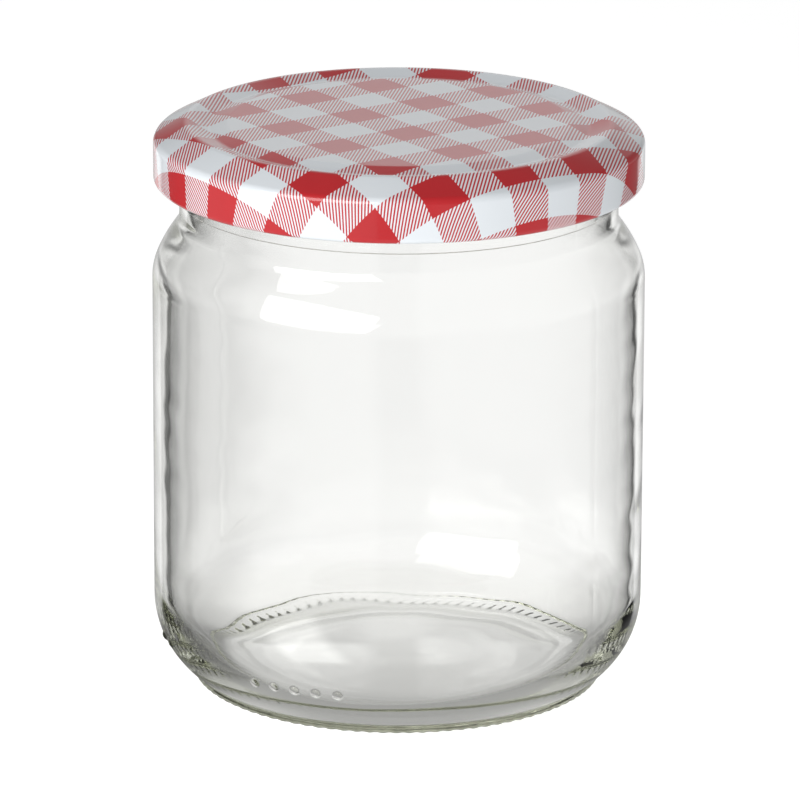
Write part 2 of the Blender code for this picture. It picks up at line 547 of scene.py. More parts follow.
@dataclass
class GlassJar:
    """The jar: foot with knurls, domed base, heel with dots, body, shoulder, neck and finish."""

    body_r: float = 43.05
    push_up: float = 0.4
    foot_r: tuple[float, float] = (27.8, 29.3)
    knurls: int = 96
    knurl_depth: float = 0.18
    knurl_slant: float = 0.9
    heel_radius: float = 16.2
    heel_top: float = 15.5
    heel_low: float = 2.2
    shoulder_z: float = 73.3
    shoulder_radii: tuple[float, float] = (9.5, 24.0)
    shoulder_turns: tuple[float, float] = (math.radians(24.0), math.radians(36.0))
    neck_r: float = 38.3
    neck_fillet: float = 3.6
    parting_z: float = 87.7
    finish_r: float = 38.7
    land_z: float = 100.3
    land_corner: float = 1.3
    mouth_r: float = 35.6
    inner_r: float = 40.6
    inner_shift: float = 0.35
    inner_heel: float = 14.0
    inner_neck_z: float = 82.9
    inner_shoulder_z: float = 74.9
    inner_shoulder_radius: float = 6.0
    inner_body_z: float = 66.0
    floor_z: float = 2.9
    floor_rise: float = 0.8
    wave_top: float = 88.0
    wave_fade: float = 10.0
    wave_core: float = 12.0
    floor_wave: float = 0.7
    threads: int = 6
    thread_r: float = 40.1
    thread_low: float = 93.5
    thread_rise: float = 2.2
    thread_span: float = math.radians(50.0)
    thread_half: float = 0.95
    dot_angles: tuple[float, ...] = (-78.0, -71.8, -36.0, -30.55, -25.1, -19.65, -14.2)
    dot_z: float = 9.4
    dot_r: float = 0.85
    dot_height: float = 0.35
    seam_angle: float = math.radians(52.0)
    seam_height: float = 0.008
    seed: int = 7

    def fine_columns(self) -> np.ndarray:
        """Angles of the foot and heel: eight to a knurl, and twice as many across the dots.

        Returns:
            The angles, rising.
        """
        pitch = 2.0 * math.pi / (8 * self.knurls)
        angles = np.arange(-4 * self.knurls, 4 * self.knurls) * pitch
        middles = angles + pitch / 2.0
        near = np.zeros(len(middles), bool)
        for dot in self.dot_angles:
            near |= np.abs(middles - math.radians(dot)) < 1.6 * self.dot_r / self.body_r
        return np.sort(np.concatenate([angles, middles[near]]))

    def body_columns(self) -> np.ndarray:
        """Angles of the body and neck, closer together at the two mould seams.

        Returns:
            The angles, rising.
        """
        angles = np.linspace(-math.pi, math.pi, 240, endpoint=False)
        seams = [self.seam_angle, self.seam_angle - math.pi]
        steps = np.radians([-0.35, -0.12, 0.12, 0.35])
        close = np.concatenate([seam + steps for seam in seams])
        keep = np.min(np.abs(angles[:, None] - close[None, :]), 1) > math.radians(0.2)
        return np.sort(np.concatenate([angles[keep], close]))

    def heel_centre(self) -> Point:
        """Centre of the heel's outer arc."""
        return self.body_r - self.heel_radius, self.heel_top

    def dot_slope(self) -> float:
        """Angle of the heel's arc at the middle of the dots."""
        return -math.asin((self.heel_top - self.dot_z) / self.heel_radius)

    def dot_reach(self) -> float:
        """Half the angle of the heel's arc that has the closest rings."""
        return 1.35 * self.dot_r / self.heel_radius

    def base_points(self) -> list[Point]:
        """Underside of the base, from near its centre to the plain ring of the foot.

        Returns:
            The profile points.
        """
        inner, outer = self.foot_r
        shares = (0.12, 0.3, 0.5, 0.7, 0.85)
        dome = [(inner * share, self.push_up * (1.0 - share ** 2)) for share in shares]
        corners = [(*dome[-1], 0.0), (inner, 0.0, 1.2), (outer, 0.0, 0.0)]
        return dome + rounded(corners)[1:]

    def foot_points(self) -> list[tuple[float, float, float]]:
        """Profile of the knurled band as (radius, height, share of the knurls' depth).

        Returns:
            The profile points, each with its share.
        """
        inner = self.foot_r[1]
        band = [
            (0.7, 0.012, 0.0), (1.7, 0.068, 0.0), (2.7, 0.172, 0.0), (3.7, 0.323, 0.0), (4.3, 0.42, 0.0),
            (4.8, 0.5, 0.0), (5.3, 0.57, 0.2), (5.65, 0.63, 0.6), (5.9, 0.69, 0.9), (6.1, 0.75, 1.0),
            (6.35, 0.85, 0.85), (6.6, 1.03, 0.55), (6.78, 1.3, 0.25), (6.85, 1.6, 0.08), (6.85, 1.95, 0.0),
        ]
        return [(inner + out, height, share) for out, height, share in band]

    def heel_points(self) -> list[Point]:
        """Outer arc of the heel, in steps that are closest at the dots' height.

        Returns:
            The profile points.
        """
        centre = self.heel_centre()
        low = -math.asin((self.heel_top - self.heel_low) / self.heel_radius)
        dots, reach = self.dot_slope(), self.dot_reach()
        points = arc(centre, self.heel_radius, low, dots - reach, 10)
        points += arc(centre, self.heel_radius, dots - reach, dots + reach, 12)[1:]
        return points

    def upper_points(self) -> list[Point]:
        """Outside of the glass from the end of the heel up to the land's inner corner.

        Returns:
            The profile points.
        """
        centre = self.heel_centre()
        points = arc(centre, self.heel_radius, self.dot_slope() + self.dot_reach(), 0.0, 9)[1:]
        points += straight(points[-1], (self.body_r, self.shoulder_z), 1.5)
        (tight, wide), (middle, end) = self.shoulder_radii, self.shoulder_turns
        centre = (self.body_r - tight, self.shoulder_z)
        points += arc(centre, tight, 0.0, middle, 10)[1:]
        shift = wide - tight
        centre = (centre[0] - shift * math.cos(middle), centre[1] - shift * math.sin(middle))
        points += arc(centre, wide, middle, end, 8)[1:]
        fillet_r = self.neck_r + self.neck_fillet
        start_r = fillet_r - self.neck_fillet * math.cos(end)
        start_z = points[-1][1] + (points[-1][0] - start_r) / math.tan(end)
        points += straight(points[-1], (start_r, start_z), 0.8)
        centre = (fillet_r, start_z + self.neck_fillet * math.sin(end))
        points += arc(centre, self.neck_fillet, math.pi + end, math.pi, 7)[1:]
        ledge = [
            (*points[-1], 0.0),
            (self.neck_r, self.parting_z, 0.12),
            (self.finish_r, self.parting_z + 0.25, 0.15),
            (self.finish_r, self.parting_z + 0.9, 0.0),
        ]
        points += rounded(ledge, math.radians(25.0))[1:]
        points += straight(points[-1], (self.finish_r, self.land_z - self.land_corner), 0.45)
        corner = (self.finish_r - self.land_corner, self.land_z - self.land_corner)
        points += arc(corner, self.land_corner, 0.0, math.pi / 2.0, 6)[1:]
        return points

    def inner_points(self) -> list[Point]:
        """Inside of the glass from the land down to near the floor's centre.

        Returns:
            The profile points.
        """
        top = (self.finish_r - self.land_corner, self.land_z)
        corners = [
            (*top, 0.0),
            (self.mouth_r, self.land_z, 1.0),
            (self.mouth_r, self.inner_neck_z, 6.0),
            (self.inner_r, self.inner_shoulder_z, self.inner_shoulder_radius),
            (self.inner_r, self.inner_body_z, 0.0),
        ]
        raw = rounded(corners)
        points = []
        for before, here in zip(raw, raw[1:]):
            points += straight(before, here, 1.0)
        heel_z = self.floor_z + self.inner_heel
        points += straight(points[-1], (self.inner_r, heel_z), 0.85)
        rim = self.inner_r - self.inner_heel
        points += arc((rim, heel_z), self.inner_heel, 0.0, -math.pi / 2.0, 18)[1:]
        for share in (0.96, 0.9, 0.82, 0.72, 0.6, 0.46, 0.3, 0.14):
            rise = self.floor_rise * math.cos(math.pi / 2.0 * share) ** 2
            points.append((rim * share, self.floor_z + rise))
        return points

    def waves(self, angles: np.ndarray, along: float) -> np.ndarray:
        """Unevenness of the blown inside, in millimetres.

        Args:
            angles: Angles round the jar.
            along: Distance along the profile.

        Returns:
            How far each place stands into the cavity.
        """
        draw = np.random.default_rng(self.seed)
        total = np.zeros_like(angles)
        for turns, length, height in (
            (1, 70.0, 0.10), (2, 46.0, 0.05), (3, 30.0, 0.03), (4, 19.0, 0.016), (5, 12.0, 0.010),
            (7, 8.5, 0.007), (9, 6.0, 0.005), (6, 4.4, 0.003), (12, 7.0, 0.004), (14, 26.0, 0.004),
        ):
            lean = draw.choice([-1.0, 1.0])
            wave_length = length * draw.uniform(0.85, 1.2)
            phase, drift = draw.uniform(0.0, 2.0 * math.pi, 2)
            strength = height * (1.0 + 0.5 * np.sin(angles * draw.integers(1, 4) + drift))
            total += strength * np.sin(lean * turns * angles + 2.0 * math.pi * along / wave_length + phase)
        return total

    def thread(self, angles: np.ndarray, height: float) -> np.ndarray:
        """How far the short sloping threads stand out of the finish at a height.

        Args:
            angles: Angles round the jar.
            height: The height.

        Returns:
            The distance at each angle.
        """
        share = np.mod(angles, 2.0 * math.pi / self.threads) / self.thread_span
        middle = self.thread_low + self.thread_rise * share
        across = np.clip(1.35 * (1.0 - np.abs(height - middle) / self.thread_half), 0.0, 1.0)
        ends = np.clip(np.minimum(share, 1.0 - share) / 0.12, 0.0, 1.0)
        ridge = across * across * (3.0 - 2.0 * across) * ends * ends * (3.0 - 2.0 * ends)
        return (self.thread_r - self.finish_r) * ridge

    def seam(self, angles: np.ndarray) -> np.ndarray:
        """Height of the two fine seams that the mould halves leave."""
        nearest = np.abs(np.mod(angles - self.seam_angle + math.pi / 2.0, math.pi) - math.pi / 2.0)
        return self.seam_height * (nearest < math.radians(0.2))

    def dots(self, angles: np.ndarray, slope: float) -> np.ndarray:
        """Height of the moulder's dots above the heel at one angle of its arc.

        Args:
            angles: Angles round the jar.
            slope: The angle on the heel's arc.

        Returns:
            The height at each angle.
        """
        total = np.zeros_like(angles)
        middle = self.dot_slope()
        across = (slope - middle) * self.heel_radius
        centre = self.heel_centre()
        radius = centre[0] + self.heel_radius * math.cos(middle)
        for dot in self.dot_angles:
            along = (angles - math.radians(dot)) * radius
            share = np.clip(1.0 - (along ** 2 + across ** 2) / self.dot_r ** 2, 0.0, 1.0)
            total += self.dot_height * share ** 0.62
        return total

    def build(self, material: bpy.types.Material) -> bpy.types.Object:
        """Build the glass as one closed mesh.

        Args:
            material: The glass.

        Returns:
            The finished piece.
        """
        turned = Turned()
        fine, body = self.fine_columns(), self.body_columns()
        plain = np.linspace(-math.pi, math.pi, 120, endpoint=False)
        rings = [turned.ring(0.0, self.push_up, np.array([]))]
        for radius, height in self.base_points():
            rings.append(turned.ring(radius, height, plain))
        knurl_from = turned.count
        shares = []
        for radius, height, share in self.foot_points():
            rings.append(turned.ring(radius, height, fine))
            shares += [share] * len(fine)
        centre = self.heel_centre()
        for radius, height in self.heel_points():
            slope = math.atan2(height - centre[1], radius - centre[0])
            lift = self.dots(fine, slope)
            rings.append(turned.ring(radius + lift * math.cos(slope), height + lift * math.sin(slope), fine))
        for radius, height in self.upper_points():
            seamed = self.heel_top < height < self.land_z - self.land_corner
            out = self.seam(body) if seamed else 0.0 * body
            if height > self.parting_z + 0.5:
                out = out + self.thread(body, height)
            rings.append(turned.ring(radius + out, height, body))
        along = 0.0
        before = (self.mouth_r, self.land_z)
        for radius, height in self.inner_points():
            along += math.dist(before, (radius, height))
            before = (radius, height)
            fade = min(1.0, max(0.0, (self.wave_top - height) / self.wave_fade))
            wave = self.waves(body, along) * fade
            shift = self.inner_shift * np.sin(body) * fade
            rim = min(1.0, radius / self.wave_core)
            upright = min(1.0, max(0.0, (height - self.floor_z) / self.inner_heel))
            side = math.sqrt(1.0 - (1.0 - upright) ** 2)
            level = math.sqrt(1.0 - side ** 2)
            radii = radius + (shift - wave) * side * rim
            rings.append(turned.ring(radii, height + self.floor_wave * wave * level * rim, body))
        rings.append(turned.ring(0.0, self.floor_z + self.floor_rise, np.array([])))
        for lower, upper in zip(rings, rings[1:]):
            turned.bridge(lower, upper)
        mesh = turned.mesh("glass_jar")
        weight = mesh.attributes.new("knurl", "FLOAT", "POINT")
        values = np.zeros(turned.count, np.float32)
        values[knurl_from:knurl_from + len(shares)] = shares
        weight.data.foreach_set("value", values)
        jar = link("glass_jar", mesh)
        self.cut_knurls(jar, material)
        return jar

    def cut_knurls(self, jar: bpy.types.Object, material: bpy.types.Material) -> None:
        """Sink the valleys of the foot's slanting knurls into the marked band of the mesh.

        Args:
            jar: The jar's object.
            material: The glass.
        """
        group = NodeGroup("foot_knurls")
        group.inputs(Count="Int", Depth="Float", Slant="Float")
        tree = group.tree
        share = tree.value("GeometryNodeInputNamedAttribute", 0, {"data_type": "FLOAT"}, {"Name": "knurl"})
        x, y, _ = tree.parts(tree.value("GeometryNodeInputPosition", 0))
        angle = tree.maths("ARCTAN2", x, y * -1.0)
        radius = tree.maths("SQRT", x * x + y * y) / MM
        phase = angle * group.given("Count") + radius * group.given("Slant")
        valley = 0.5 - 0.5 * tree.maths("COSINE", phase)
        sink = share * valley * group.given("Depth") * -1.0
        normal = tree.value("GeometryNodeInputNormal", 0)
        offset = tree.value("ShaderNodeVectorMath", 0, {"operation": "SCALE"}, {0: normal, "Scale": sink})
        inputs = {"Geometry": group.given("Geometry"), "Offset": offset}
        group.close(tree.value("GeometryNodeSetPosition", 0, inputs=inputs))
        depth = self.knurl_depth * MM
        group.run(jar, material, Count=self.knurls, Depth=depth, Slant=self.knurl_slant)


@dataclass(frozen=True)
class GinghamPrint:
    """Red and white gingham printed on the flat sheet, under a gloss varnish."""

    repeat: float = 14.92
    turn: float = 0.626
    middle: Point = (1.65, -8.1)
    stripes: int = 18
    stripe_share: float = 0.5
    edge: float = 0.05
    red: Colour = (0.540, 0.010, 0.016)
    white: Colour = (0.76, 0.80, 0.835)
    ink_roughness: float = 0.35
    varnish_roughness: float = 0.04
    dent_depth: float = 0.00001

    def ink(self, tree: Tree) -> Value:
        """Where the red ink is, from each place's coordinates on the flat sheet.

        Args:
            tree: The tree to build in.

        Returns:
            The share of ink, from 0 to 1.
        """
        sheet = tree.value("ShaderNodeAttribute", "Vector", {"attribute_name": "flat_sheet"})
        x, y, _ = tree.parts(sheet)
        x, y = x - self.middle[0], y - self.middle[1]
        cos, sin = math.cos(self.turn) / self.repeat, math.sin(self.turn) / self.repeat
        warp, weft = x * cos + y * sin, x * sin - y * cos
        edge = self.edge / self.repeat
        bands = []
        for across in (warp, weft):
            from_middle = tree.maths("PINGPONG", across, 0.5)
            bands.append(1.0 - tree.smooth(from_middle, 0.25 - edge, 0.25 + edge))
        saw = tree.maths("PINGPONG", (warp + weft) * self.stripes, 0.5)
        soft = 0.1
        half = self.stripe_share / 2.0
        stripe = 1.0 - tree.smooth(saw, half - soft, half + soft)
        both = bands[0] * bands[1]
        single = bands[0] + bands[1] - 2.0 * both
        return both + single * stripe

    def material(self) -> bpy.types.Material:
        """Build the varnished print.

        Returns:
            The material.
        """
        material, tree = new_material("gingham_print")
        red = tree.clouded(tree.noise(220.0, 2.0), self.red, 0.9)
        shader = tree.principled({
            "Base Color": tree.blend(self.ink(tree), self.white, red),
            "Roughness": self.ink_roughness,
            "Coat Weight": 1.0,
            "Coat Roughness": self.varnish_roughness,
            "Normal": tree.bump(tree.noise(160.0, 1.0), self.dent_depth),
        })
        tree.add("ShaderNodeOutputMaterial", inputs={"Surface": shader})
        return material


@dataclass(frozen=True)
class InsideLacquer:
    """Off-white lacquer on the inside of the sheet."""

    colour: Colour = (0.74, 0.73, 0.69)

    def material(self) -> bpy.types.Material:
        """Build the lacquer, slightly clouded.

        Returns:
            The material.
        """
        material, tree = new_material("inside_lacquer")
        cloud = tree.noise(120.0, 3.0)
        colour = tree.clouded(cloud, self.colour, 0.92)
        shader = tree.principled({"Base Color": colour, "Roughness": cloud * 0.1 + 0.25})
        tree.add("ShaderNodeOutputMaterial", inputs={"Surface": shader})
        return material


@dataclass(frozen=True)
class SealingCompound:
    """Cream coloured soft compound that the cap's channel is lined with."""

    colour: Colour = (0.78, 0.75, 0.66)
    grain_depth: float = 0.00005

    def material(self) -> bpy.types.Material:
        """Build the compound, dull with a fine grain.

        Returns:
            The material.
        """
        material, tree = new_material("sealing_compound")
        grain = tree.noise(900.0, 2.0)
        colour = tree.clouded(grain, self.colour, 0.93)
        bump = tree.bump(grain, self.grain_depth, 0.4)
        shader = tree.principled({"Base Color": colour, "Roughness": 0.55, "Normal": bump})
        tree.add("ShaderNodeOutputMaterial", inputs={"Surface": shader})
        return material


class SheetBand(Enum):
    """What covers the parts of the cap, by the number of their material slot."""

    PRINT = 0
    LACQUER = 1
    COMPOUND = 2


@dataclass
class LugCap:
    """The cap: thin sheet with a flat panel, a raised bead, a plain skirt, a curl and lugs."""

    radius: float = 42.8
    panel_r: float = 29.85
    panel_z: float = 100.91
    groove_r: float = 33.1
    groove_z: float = 100.1
    bead_r: float = 37.0
    bead_z: float = 101.25
    shoulder_z: float = 98.32
    sheet: float = 0.2
    curl_radius: float = 1.0
    curl_z: float = 91.6
    columns: int = 288
    lugs: int = 6
    lug_tip: float = 39.3
    lug_z: float = 91.4
    lug_span: float = math.radians(15.5)
    lug_middle: float = math.radians(25.0)

    def path(self) -> list[Point]:
        """Outer face of the sheet from the panel's centre out, down the skirt and round the curl.

        Returns:
            The profile points.
        """
        corners = [
            (28.0, self.panel_z, 0.0),
            (self.panel_r, self.panel_z, 1.6),
            (self.groove_r, self.groove_z, 1.8),
            (self.bead_r, self.bead_z, 2.0),
            (self.radius, self.shoulder_z, 1.6),
            (self.radius, self.curl_z, 0.0),
        ]
        shaped = rounded(corners)
        flat = [(28.0 * share, self.panel_z) for share in (0.1, 0.3, 0.5, 0.7, 0.9)]
        points = flat + shaped[:-1]
        points += straight(shaped[-2], shaped[-1], 0.8)
        curl = (self.radius - self.curl_radius, self.curl_z)
        points += arc(curl, self.curl_radius, 0.0, -math.radians(290.0), 26)[1:]
        return points

    def offset(self, path: list[Point], distance: float) -> list[Point]:
        """The path moved to its right, towards the underside, by a distance.

        Args:
            path: The path.
            distance: How far it moves.

        Returns:
            The moved path.
        """
        places = np.array(path)
        tangents = np.gradient(places, axis=0)
        tangents /= np.linalg.norm(tangents, axis=1)[:, None]
        right = np.stack([tangents[:, 1], -tangents[:, 0]], 1)
        return [tuple(point) for point in places + right * distance]

    def developed(self, path: list[Point]) -> np.ndarray:
        """Radius that each path point had on the flat sheet: its distance along the path.

        Args:
            path: The path.

        Returns:
            A radius for each of its points.
        """
        places = np.array(path)
        steps = np.linalg.norm(np.diff(places, axis=0), axis=1)
        return places[0, 0] + np.concatenate([[0.0], np.cumsum(steps)])

    def build(self, materials: dict[SheetBand, bpy.types.Material]) -> bpy.types.Object:
        """Build the cap with its lugs and its sealing compound.

        Args:
            materials: The finish of each band.

        Returns:
            The finished piece.
        """
        angles = np.linspace(-math.pi, math.pi, self.columns, endpoint=False)
        turned = Turned()
        outside = self.path()
        inside = self.offset(outside, self.sheet)[::-1]
        flat = [0.0] + list(self.developed(outside))
        pole = np.array([])
        top = turned.ring(0.0, self.panel_z, pole)
        outer = [top] + [turned.ring(radius, height, angles) for radius, height in outside]
        inner = [turned.ring(radius, height, angles) for radius, height in inside]
        inner.append(turned.ring(0.0, self.panel_z - self.sheet, pole))
        for first, second in zip(outer, outer[1:]):
            turned.bridge(second, first, SheetBand.PRINT.value)
        turned.bridge(inner[0], outer[-1], SheetBand.LACQUER.value)
        for first, second in zip(inner, inner[1:]):
            turned.bridge(second, first, SheetBand.LACQUER.value)
        self.add_compound(turned, angles)
        mesh = turned.mesh("tin_cap")
        for band in SheetBand:
            mesh.materials.append(materials[band])
        mesh.polygons.foreach_set("material_index", turned.bands)
        self.store_print(mesh, outer, flat, turned.count)
        cap = link("tin_cap", mesh)
        self.add_lugs(cap, materials[SheetBand.LACQUER])
        return cap

    def add_compound(self, turned: Turned, angles: np.ndarray) -> None:
        """Line the channel above the glass with a soft ring, clear of the sheet and the land.

        Args:
            turned: The mesh to add to.
            angles: The angles of its columns.
        """
        corners = [(35.2, 100.38), (36.4, 100.36), (37.6, 100.34), (38.6, 99.9), (39.5, 99.55)]
        corners += [(39.3, 99.75), (37.8, 100.5), (36.9, 100.72), (36.2, 100.62)]
        rings = [turned.ring(radius, height, angles) for radius, height in corners]
        for first, second in zip(rings, rings[1:] + rings[:1]):
            turned.bridge(first, second, SheetBand.COMPOUND.value)

    def store_print(self, mesh: bpy.types.Mesh, rings: list[Ring], flat: list[float], total: int) -> None:
        """Store every outer vertex's place on the flat sheet, in millimetres.

        Args:
            mesh: The cap's mesh.
            rings: Its outer rings.
            flat: The radius of each ring on the flat sheet.
            total: Number of the mesh's vertices.
        """
        places = np.zeros((total, 3), np.float32)
        for ring, radius in zip(rings, flat):
            if len(ring) > 1:
                span = slice(ring.first, ring.first + len(ring))
                places[span, 0] = radius * np.sin(ring.angles)
                places[span, 1] = -radius * np.cos(ring.angles)
        attribute = mesh.attributes.new("flat_sheet", "FLOAT_VECTOR", "POINT")
        attribute.data.foreach_set("vector", places.ravel())

    def add_lugs(self, cap: bpy.types.Object, material: bpy.types.Material) -> None:
        """Set the lugs round the curl by Geometry Nodes and join them to the cap.

        Args:
            cap: The cap's object.
            material: What the lugs get.
        """
        tool = bmesh.new()
        steps, sides = 14, 10
        root = self.radius - 2.0 * self.curl_radius + 0.25
        loops = []
        for step in range(steps + 1):
            share = step / steps
            push = math.sin(math.pi * share) ** 0.5 if 0 < step < steps else 0.0
            angle = (share - 0.5) * self.lug_span
            loop = []
            for side in range(sides):
                turn = 2.0 * math.pi * side / sides
                reach = (root - self.lug_tip) * push
                radius = root - reach * (0.5 + 0.5 * math.cos(turn)) - 0.02
                height = self.lug_z + 0.5 * math.sin(turn)
                place = Vector((radius * math.sin(angle), -radius * math.cos(angle), height))
                loop.append(tool.verts.new(place * MM))
            loops.append(loop)
        for first, second in zip(loops, loops[1:]):
            for side in range(sides):
                after = (side + 1) % sides
                tool.faces.new((first[side], first[after], second[after], second[side]))
        tool.faces.new(loops[0])
        tool.faces.new(loops[-1])
        bmesh.ops.recalc_face_normals(tool, faces=tool.faces[:])
        mesh = bpy.data.meshes.new("lug")
        tool.to_mesh(mesh)
        tool.free()
        mesh.shade_smooth()
        lug = link("lug", mesh)
        self.repeat_lug(lug, material)
        joined = bmesh.new()
        joined.from_mesh(cap.data)
        before = len(joined.faces)
        joined.from_mesh(lug.data)
        joined.faces.ensure_lookup_table()
        for face in joined.faces[before:]:
            face.material_index = SheetBand.LACQUER.value
        joined.to_mesh(cap.data)
        joined.free()
        bpy.data.objects.remove(lug, do_unlink=True)

    def repeat_lug(self, lug: bpy.types.Object, material: bpy.types.Material) -> None:
        """Copy one lug evenly round the axis.

        Args:
            lug: The lug's object.
            material: What the lugs get.
        """
        group = NodeGroup("lug_row")
        group.inputs(Count="Int", Start="Float")
        tree = group.tree
        points = tree.value("GeometryNodePoints", 0, inputs={"Count": group.given("Count")})
        index = tree.value("GeometryNodeInputIndex", 0)
        angle = index * (2.0 * math.pi) / group.given("Count") + group.given("Start")
        rotation = tree.value("ShaderNodeCombineXYZ", 0, inputs={"Z": angle})
        inputs = {"Points": points, "Instance": group.given("Geometry"), "Rotation": rotation}
        group.close(tree.value("GeometryNodeInstanceOnPoints", 0, inputs=inputs))
        group.run(lug, material, Count=self.lugs, Start=self.lug_middle)


@dataclass(frozen=True)
class SoftBox:
    """A flat soft lamp that points at the jar, from an angle and an elevation in degrees."""

    name: str = "key_box"
    angle: float = -40.0
    elevation: float = 23.0
    distance: float = 1.1
    width: float = 1.07
    height: float = 0.60
    radiance: float = 3.7

    def build(self, target: Vector) -> bpy.types.Object:
        """Make the lamp, which shows in the glass but not to the camera.

        Args:
            target: Where it points.

        Returns:
            The lamp's object.
        """
        angle, elevation = math.radians(self.angle), math.radians(self.elevation)
        flat = math.cos(elevation)
        away = Vector((math.sin(angle) * flat, -math.cos(angle) * flat, math.sin(elevation)))
        data = bpy.data.lights.new(self.name, "AREA")
        data.shape = "RECTANGLE"
        data.size, data.size_y = self.width, self.height
        data.energy = self.radiance * math.pi * self.width * self.height
        lamp = link(self.name, data)
        lamp.location = target + away * self.distance
        lamp.rotation_euler = away.to_track_quat("Z", "Y").to_euler()
        lamp.visible_camera = False
        return lamp


@dataclass(frozen=True)
class Patch:
    """A soft-edged patch of light: its gain, and its Edges across and, where it ends there, upwards."""

    gain: float
    across: Edges
    upwards: Edges | None = None

    def light(self, tree: Tree, x: Value, y: Value) -> Value:
        """What the patch adds at a place.

        Args:
            tree: The tree to build in.
            x: The place across.
            y: The place upwards.

        Returns:
            The added brightness.
        """
        added = self.gain * tree.window(x, *self.across)
        if self.upwards is None:
            return added
        return added * tree.window(y, *self.upwards)


def lit(tree: Tree, level: float, patches: tuple[Patch, ...], x: Value, y: Value) -> Value:
    """A level with what all the patches add to it.

    Args:
        tree: The tree to build in.
        level: Brightness outside the patches.
        patches: The patches.
        x: The place across.
        y: The place upwards.

    Returns:
        The brightness.
    """
    for patch in patches:
        level = level + patch.light(tree, x, y)
    return level


@dataclass(frozen=True)
class FloorLook:
    """How bright the glass shows the floor, as glow that only rays through the glass see: painted shade
    under, in front of and beside the foot, and painted highlights. Places on it are in metres, and y leads
    to the back.
    """

    # Painted shade under the base: dim, lighter towards the back and darker under the front.
    under: float = 0.62
    back_gain: float = 0.17
    back_y: Span = (-0.005, 0.025)
    front_loss: float = 0.2
    front_y: Span = (-0.021, -0.031)
    # Painted highlight: a slanting bright patch under the left of the base, standing in for the soft box's
    # reflection in the inside floor.
    painted_highlight: Patch = Patch(0.34, (-0.0205, -0.0105, 0.002), (-0.008, 0.034, 0.003))
    painted_highlight_lean: float = 0.22
    # A lighter patch under the middle of the base.
    middle: Patch = Patch(0.18, (-0.006, 0.006, 0.004), (-0.010, 0.030, 0.010))
    # Behind the foot the floor is bright, with painted shade towards the sides.
    behind: float = 1.05
    behind_loss: float = 0.42
    behind_x: Span = (0.026, 0.046)
    behind_y: Span = (0.006, 0.038)
    # Painted shade: in front of and beside the foot the floor is darker, most on the left.
    beside: float = 0.38
    left_loss: float = 0.21
    left_x: Span = (-0.027, -0.037)
    right_loss: float = 0.04
    right_x: Span = (0.027, 0.037)
    foot: Span = (0.0315, 0.0355)
    reach: Span = (0.048, 0.075)

    def brightness(self, tree: Tree, x: Value, y: Value, away: Value) -> Value:
        """Brightness of a place under, behind or beside the jar, with its painted shade and painted
        highlights.

        Args:
            tree: The tree to build in.
            x: The place to the right.
            y: The place to the back.
            away: Its distance from the jar's axis.

        Returns:
            The brightness.
        """
        under = self.under + self.back_gain * tree.smooth(y, *self.back_y)
        under = under - self.front_loss * tree.smooth(y, *self.front_y)
        under = under + self.painted_highlight.light(tree, x + self.painted_highlight_lean * y, y)
        under = under + self.middle.light(tree, x, y)
        behind = self.behind - self.behind_loss * tree.smooth(tree.maths("ABSOLUTE", x), *self.behind_x)
        beside = self.beside - self.left_loss * tree.smooth(x, *self.left_x)
        beside = beside - self.right_loss * tree.smooth(x, *self.right_x)
        around = tree.between(beside, behind, tree.smooth(y, *self.behind_y))
        return tree.between(under, around, tree.smooth(away, *self.foot))


